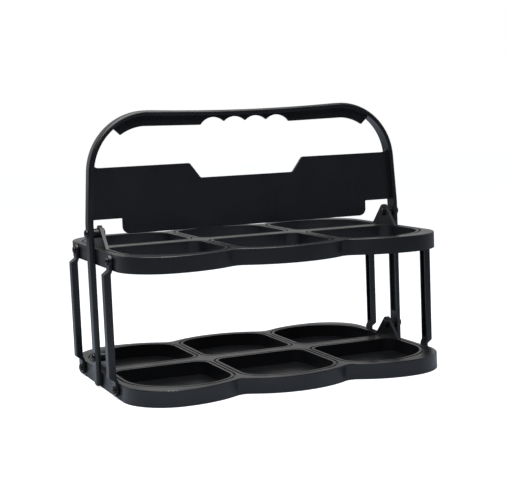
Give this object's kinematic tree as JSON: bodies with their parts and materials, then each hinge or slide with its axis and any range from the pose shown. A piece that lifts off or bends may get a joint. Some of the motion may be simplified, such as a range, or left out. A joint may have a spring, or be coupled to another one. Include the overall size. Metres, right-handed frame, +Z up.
{
  "type": "folding bottle carrier",
  "caption": "Folding plastic bottle carrier: scalloped tray of cups below, tray of open rings above, arched handle with finger grip and panel, pivoting corner posts.",
  "frame": {"origin": "centre of the carrier on the surface it stands on", "axes": "+X along the carrier from left to right end, -Y the front, +Z up"},
  "size_m": [0.3438, 0.246, 0.2662],
  "materials": {
    "carrier_plastic": "black injection-moulded polypropylene, satin",
    "rivet_steel": "black-coated steel, smooth",
    "cap_plastic": "black moulded plastic, satin"
  },
  "bodies": {
    "lower_tray": {"lower_tray": "carrier_plastic", "lower_left_handle_rivet": "rivet_steel", "lower_left_rivet_cap": "cap_plastic", "lower_front_left_post_rivet": "rivet_steel", "lower_rear_left_post_rivet": "rivet_steel", "lower_right_handle_rivet": "rivet_steel", "lower_right_rivet_cap": "cap_plastic", "lower_front_right_post_rivet": "rivet_steel", "lower_rear_right_post_rivet": "rivet_steel"},
    "handle": {"handle_frame": "carrier_plastic"},
    "upper_tray": {"upper_tray": "carrier_plastic", "upper_left_handle_rivet": "rivet_steel", "upper_left_rivet_cap": "cap_plastic", "upper_front_left_post_rivet": "rivet_steel", "upper_rear_left_post_rivet": "rivet_steel", "upper_right_handle_rivet": "rivet_steel", "upper_right_rivet_cap": "cap_plastic", "upper_front_right_post_rivet": "rivet_steel", "upper_rear_right_post_rivet": "rivet_steel"},
    "front_left_post": {"front_left_post": "carrier_plastic"},
    "front_right_post": {"front_right_post": "carrier_plastic"},
    "rear_left_post": {"rear_left_post": "carrier_plastic"},
    "rear_right_post": {"rear_right_post": "carrier_plastic"}
  },
  "joints": [
    {"name": "handle_fold", "type": "hinge", "parent": "lower_tray", "child": "handle", "pos_m": [0, 0, 0.0295], "axis": [1, 0, 0], "range_deg": [-57, 57]},
    {"name": "upper_tray_level", "type": "hinge", "parent": "handle", "child": "upper_tray", "pos_m": [0, 0, 0.1503], "axis": [1, 0, 0], "range_deg": [-57, 57]},
    {"name": "front_left_post_swing", "type": "hinge", "parent": "lower_tray", "child": "front_left_post", "pos_m": [-0.1651, -0.05998, 0.0086], "axis": [1, 0, 0], "range_deg": [-57, 57]},
    {"name": "front_right_post_swing", "type": "hinge", "parent": "lower_tray", "child": "front_right_post", "pos_m": [0.1651, -0.05998, 0.0086], "axis": [1, 0, 0], "range_deg": [-57, 57]},
    {"name": "rear_left_post_swing", "type": "hinge", "parent": "lower_tray", "child": "rear_left_post", "pos_m": [-0.1651, 0.05998, 0.0086], "axis": [1, 0, 0], "range_deg": [-57, 57]},
    {"name": "rear_right_post_swing", "type": "hinge", "parent": "lower_tray", "child": "rear_right_post", "pos_m": [0.1651, 0.05998, 0.0086], "axis": [1, 0, 0], "range_deg": [-57, 57]}
  ],
  "couplings": [
    {"joint": "upper_tray_level", "follows": "handle_fold", "ratio": -1},
    {"joint": "front_left_post_swing", "follows": "handle_fold", "ratio": 1},
    {"joint": "front_right_post_swing", "follows": "handle_fold", "ratio": 1},
    {"joint": "rear_left_post_swing", "follows": "handle_fold", "ratio": 1},
    {"joint": "rear_right_post_swing", "follows": "handle_fold", "ratio": 1}
  ]
}
